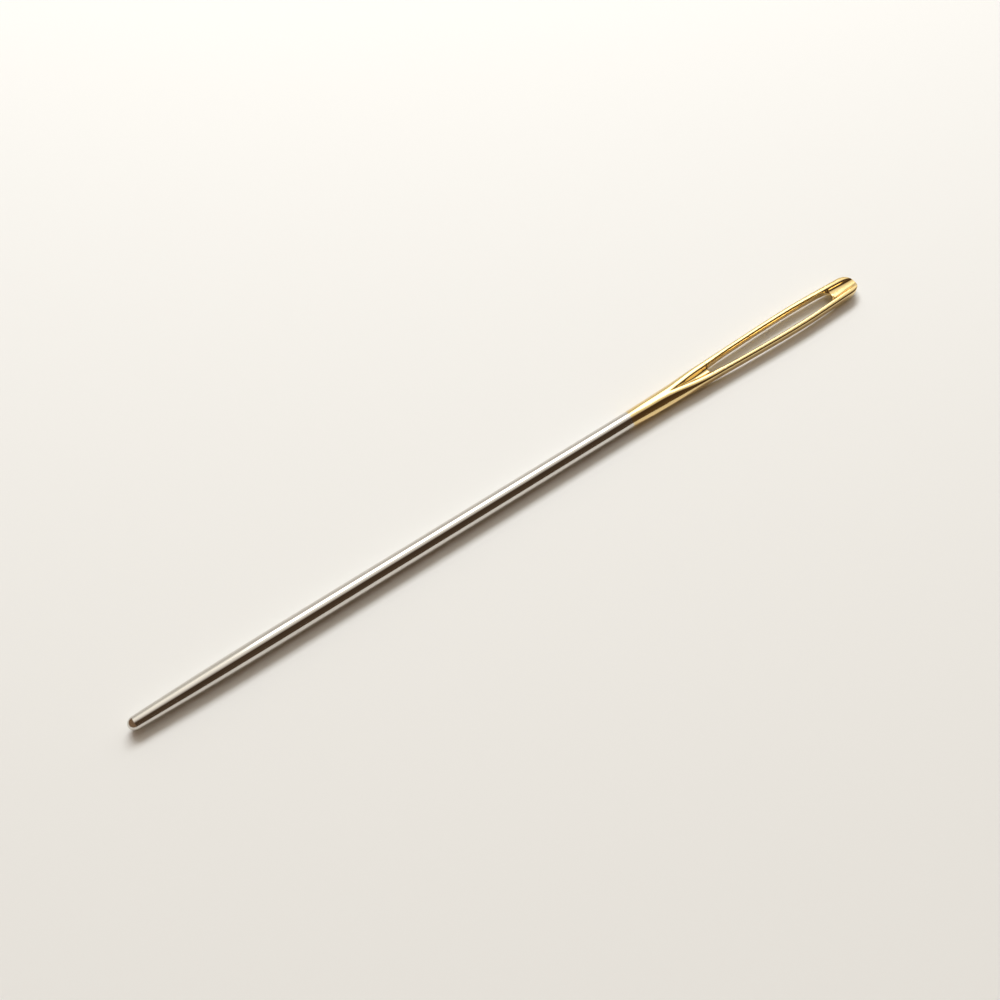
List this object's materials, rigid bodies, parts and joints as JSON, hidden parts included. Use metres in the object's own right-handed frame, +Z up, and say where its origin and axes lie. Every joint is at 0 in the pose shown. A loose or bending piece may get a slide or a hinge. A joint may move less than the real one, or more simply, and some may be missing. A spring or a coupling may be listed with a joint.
{
  "type": "splicing needle",
  "caption": "Blunt steel needle with a nickel-plated round shank that tapers to a rounded point, and a flattened gold-plated head with a long threading eye and a gutter on each face",
  "frame": {"origin": "On the surface that the needle lies on, under the middle of its length: bottom centre of the bounding box.", "axes": "+X runs along the needle from the rounded point to the butt, +Z is up, square to the face of the eye, and +Y is across the eye."},
  "size_m": [0.06, 0.002, 0.0012],
  "materials": {
    "nickel_plate": "polished nickel plating on steel wire",
    "gold_plate": "polished gold plating on steel wire"
  },
  "bodies": {
    "root": {"nickel_plated_shank": "nickel_plate", "gold_plated_eye": "gold_plate"}
  },
  "joints": []
}
